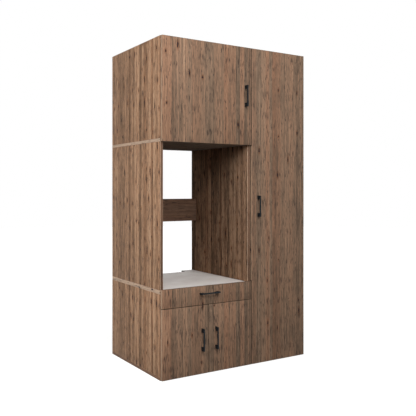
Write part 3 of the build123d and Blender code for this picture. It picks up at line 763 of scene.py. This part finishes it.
# the side each door hangs on, which way its inside lies, and how many hinges it has
hung = {"base_left": (-545, 1, 2), "base_right": (105, -1, 2), "upper": (-545, 1, 2), "tall": (545, -1, 4)}
carcassFront = fittingPlaces["carcassFront"] * mm
frontsBack = fittingPlaces["frontsBack"] * mm
hingeInset = fittingPlaces["hingeInset"] * mm
screwInset = fittingPlaces["handleScrewInset"] * mm
earScrew, plateScrew, armScrew, bumper, camCap = [
    fittingPlaces[name] for name in ("earScrew", "plateScrew", "armScrews", "bumper", "camCap")]
plateScrews, armScrews = [], []
for door, (unitSide, inward, count) in hung.items():
    leaf, facing = door + "_leaf", (inward, 0, 0)
    low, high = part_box(door + "_hinge_cups")
    lowest, highest = low[2] + hingeInset, high[2] - hingeInset
    levels = [lowest + (highest - lowest) * i / (count - 1) for i in range(count)]

    def placeInside(spot, back, z):
        return ((unitSide + inward * spot["in"]) * mm, carcassFront + back * mm, z)

    scatterFittings(door + "_ear_screws", leaf, [
        (placeInside(earScrew, earScrew["back"], z + way * earScrew["upDown"] * mm), (0, 1, 0))
        for z in levels for way in (-1, 1)], "cupScrew")
    plateScrews += [(placeInside(plateScrew, plateScrew["back"], z + way * plateScrew["upDown"] * mm), facing)
                    for z in levels for way in (-1, 1)]
    armScrews += [(placeInside(armScrew, back, z), facing) for z in levels for back in armScrew["backs"]]
    low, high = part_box(door + "_door")
    free = (low if inward == -1 else high)[0] - inward * bumper["in"] * mm
    pads = [((free, frontsBack, z), (0, 1, 0))
            for z in (low[2] + bumper["upDown"] * mm, high[2] - bumper["upDown"] * mm)]
    scatterFittings(door + "_bumpers", leaf, pads, "bumper")
    low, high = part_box(door + "_handle_screws")
    screws = [(((low[0] + high[0]) / 2, frontsBack, z), (0, 1, 0))
              for z in (low[2] + screwInset, high[2] - screwInset)]
    scatterFittings(door + "_handle_screws_set", leaf, screws, "handleScrew", door + "_handle_screws")

low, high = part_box("drawer_handle_screws")
screws = [((x, frontsBack, (low[2] + high[2]) / 2), (0, 1, 0))
          for x in (low[0] + screwInset, high[0] - screwInset)]
scatterFittings("drawer_handle_screws_set", "drawer", screws, "handleScrew", "drawer_handle_screws")
low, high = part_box("drawer_front")
pads = [((x, frontsBack, high[2] - bumper["upDown"] * mm), (0, 1, 0))
        for x in (low[0] + bumper["drawerIn"] * mm, high[0] - bumper["drawerIn"] * mm)]
scatterFittings("drawer_bumpers", "drawer", pads, "bumper")
scatterFittings("plate_screws", "carcass", plateScrews, "plateScrew")
scatterFittings("arm_screws", "carcass", armScrews, "armScrew")

camCaps = []
for node in ("upper_top_board", "tall_top_board", "tall_fixed_shelf", "tall_bottom_board"):
    low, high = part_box(node)
    # the caps look into the cupboard: up from the lowest board, down from the others
    level, facing = (high[2], (0, 0, 1)) if node == "tall_bottom_board" else (low[2], (0, 0, -1))
    camCaps += [((x, y, level), facing) for x in (low[0] + camCap["in"] * mm, high[0] - camCap["in"] * mm)
                for y in (low[1] + camCap["fromFront"] * mm, high[1] - camCap["fromBack"] * mm)]
scatterFittings("cam_caps", "carcass", camCaps, "camCap")
for shape in fittingShapes.values():
    bpy.data.objects.remove(shape)
print("fittings made")


studio = {
    "floorRadius": 14,
    "floorTone": "#B4B4B2",
    "bounceTone": "#2E2E2E",         # what the floor throws back on the object, as dark as a far floor
    "floorGlow": (0.8, 1.0),         # near the object, where its shadow stays, and further out
    "glowReach": (0.9, 2.4),         # metres from the object's middle
    "frontWay": (-0.55, -0.8, 0.1),
    "worldFront": 0.55,
    "worldRear": 0.18,
    "keyPlace": (-1.0, -3.5, 3.3),
    "keyAim": (0.0, -0.3, 1.35),
    "keySize": 2.6,
    "keyPower": 110,
    "sidePlace": (-4.2, -0.2, 1.4),
    "sideAim": (0.0, 0.0, 1.0),
    "sideSize": 1.4,
    "sidePower": 89,
}


def seenShare(tree):
    # 1 for what the camera sees, itself or in metal and glass, and 0 for light on the object
    light = addNode(tree, "ShaderNodeLightPath")
    return addNode(tree, "ShaderNodeMath", {"operation": "MAXIMUM"}, {
        0: light.outputs["Is Camera Ray"],
        1: addNode(tree, "ShaderNodeMath", {"operation": "MAXIMUM"}, {
            0: light.outputs["Is Glossy Ray"], 1: light.outputs["Is Transmission Ray"]})})


def makeFloor():
    # white to the camera away from the object, whose shadow it keeps
    bpy.ops.mesh.primitive_circle_add(vertices=64, radius=studio["floorRadius"], fill_type="NGON",
                                      location=(0, 0, -0.5 * mm))
    floor = bpy.context.object
    floor.name = "studioFloor"
    material, tree = newMaterial("studioFloorPaint")
    seen = seenShare(tree)
    away = addNode(tree, "ShaderNodeVectorMath", {"operation": "LENGTH"}, {
        0: addNode(tree, "ShaderNodeTexCoord").outputs["Object"]})
    glow = addNode(tree, "ShaderNodeMapRange", {"interpolation_type": "SMOOTHSTEP"}, {
        "Value": away.outputs["Value"],
        "From Min": studio["glowReach"][0], "From Max": studio["glowReach"][1],
        "To Min": studio["floorGlow"][0], "To Max": studio["floorGlow"][1]})
    tone = addNode(tree, "ShaderNodeMix", {"data_type": "RGBA"}, {
        0: seen, 6: hexColour(studio["bounceTone"]), 7: hexColour(studio["floorTone"])})
    both = addNode(tree, "ShaderNodeAddShader", None, {
        0: addNode(tree, "ShaderNodeBsdfDiffuse", None, {"Color": tone.outputs[2]}),
        1: addNode(tree, "ShaderNodeEmission", None, {
            "Strength": addNode(tree, "ShaderNodeMath", {"operation": "MULTIPLY"}, {0: seen, 1: glow})})})
    addNode(tree, "ShaderNodeOutputMaterial", None, {"Surface": both})
    floor.data.materials.append(material)


def makeWorld():
    # the room is lit from the front: the light fades towards the rear
    world = bpy.data.worlds.new("studioWorld")
    bpy.context.scene.world = world
    world.use_nodes = True
    tree = world.node_tree
    tree.nodes.clear()
    towards = addNode(tree, "ShaderNodeVectorMath", {"operation": "DOT_PRODUCT"}, {
        0: addNode(tree, "ShaderNodeTexCoord").outputs["Generated"], 1: studio["frontWay"]})
    fading = addNode(tree, "ShaderNodeMapRange", {"interpolation_type": "SMOOTHSTEP"}, {
        "Value": towards.outputs["Value"], "From Min": -0.5, "From Max": 0.9,
        "To Min": studio["worldRear"], "To Max": studio["worldFront"]})
    mixed = addNode(tree, "ShaderNodeMixShader", None, {
        0: seenShare(tree),
        1: addNode(tree, "ShaderNodeBackground", None, {"Color": (1, 1, 1, 1), "Strength": fading}),
        2: addNode(tree, "ShaderNodeBackground", None, {"Color": (1, 1, 1, 1), "Strength": 1.0})})
    addNode(tree, "ShaderNodeOutputWorld", None, {"Surface": mixed})


def makeLamps():
    for name in ("key", "side"):
        lamp = bpy.data.lights.new(name + "Lamp", "AREA")
        lamp.shape = "DISK"
        lamp.size = studio[name + "Size"]
        lamp.energy = studio[name + "Power"]
        holder = bpy.data.objects.new(name + "Lamp", lamp)
        bpy.context.scene.collection.objects.link(holder)
        holder.location = studio[name + "Place"]
        aim = Vector(studio[name + "Aim"]) - holder.location
        holder.rotation_euler = aim.to_track_quat("-Z", "Y").to_euler()


makeFloor()
makeWorld()
makeLamps()

# solved from the cabinet's edges in the photo; the picture plane stands upright
camera = {
    "place": (-2.2088, -3.4937, 1.127),
    "turn": -32.4,
    "lens": 52.34,
    "shiftY": -0.0459,
}


def makeCamera():
    data = bpy.data.cameras.new("photoCamera")
    data.lens = camera["lens"]
    data.sensor_width = 36
    data.shift_y = camera["shiftY"]
    data.clip_start, data.clip_end = 0.05, 100
    holder = bpy.data.objects.new("photoCamera", data)
    bpy.context.scene.collection.objects.link(holder)
    holder.location = camera["place"]
    holder.rotation_euler = (math.radians(90), 0, math.radians(camera["turn"]))
    bpy.context.scene.camera = holder


makeCamera()
bpy.context.scene.view_settings.view_transform = "Standard"
print("studio made")
